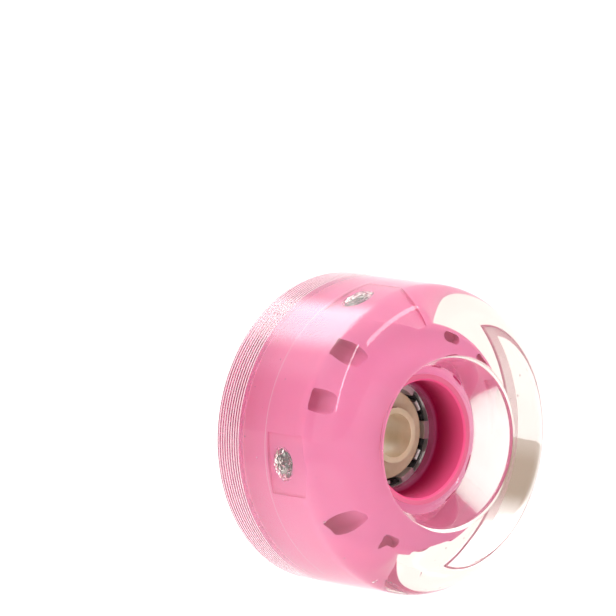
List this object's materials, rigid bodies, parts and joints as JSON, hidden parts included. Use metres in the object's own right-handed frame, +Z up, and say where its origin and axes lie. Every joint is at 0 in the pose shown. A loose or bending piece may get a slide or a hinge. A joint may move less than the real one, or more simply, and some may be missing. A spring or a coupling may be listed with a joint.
{
  "type": "light-up quad roller skate wheel",
  "caption": "Clear cast-urethane quad roller skate wheel on a pink two-part hub with a claw-pole generator, LEDs and a turning magnetic spacer.",
  "frame": {"origin": "middle of the wheel: on the axle line, halfway between the two side faces", "axes": "+Y along the axle, from the dished outer face towards the flat inner face; +Z up with the wheel standing on its tread"},
  "size_m": [0.058, 0.032, 0.058],
  "materials": {
    "clear_urethane": "water-clear cast urethane, polished mould surface",
    "pink_hub": "satin moulded nylon",
    "steel_plate": "nickel-plated pressed steel",
    "black_plastic": "moulded black nylon",
    "copper_wire": "enamelled copper wire",
    "circuit_board": "solder mask on glass-fibre board",
    "clear_epoxy": "water-clear LED epoxy",
    "tinned_wire": "tinned wire with bright solder",
    "magnet": "moulded ferrite magnet",
    "cream_plastic": "natural nylon, slightly see-through"
  },
  "bodies": {
    "wheel": {"tyre": "clear_urethane", "hub_front_shell": "pink_hub", "hub_back_shell": "pink_hub", "front_claw_plate": "steel_plate", "back_claw_plate": "steel_plate", "coil_bobbin": "black_plastic", "coil_winding": "copper_wire", "led_board": "circuit_board", "coil_lead_start": "copper_wire", "coil_lead_finish": "copper_wire", "led_lens_1": "clear_epoxy", "led_lens_2": "clear_epoxy", "led_lens_3": "clear_epoxy", "led_lens_4": "clear_epoxy", "led_legs_1": "tinned_wire", "led_legs_2": "tinned_wire", "led_legs_3": "tinned_wire", "led_legs_4": "tinned_wire"},
    "spacer": {"magnet_ring": "magnet", "spacer_front_half": "cream_plastic", "spacer_back_half": "cream_plastic"}
  },
  "joints": [
    {"name": "spacer_spin", "type": "hinge", "parent": "wheel", "child": "spacer", "pos_m": [0, 0.0036, 0], "axis": [0, 1, 0], "continuous": true}
  ]
}
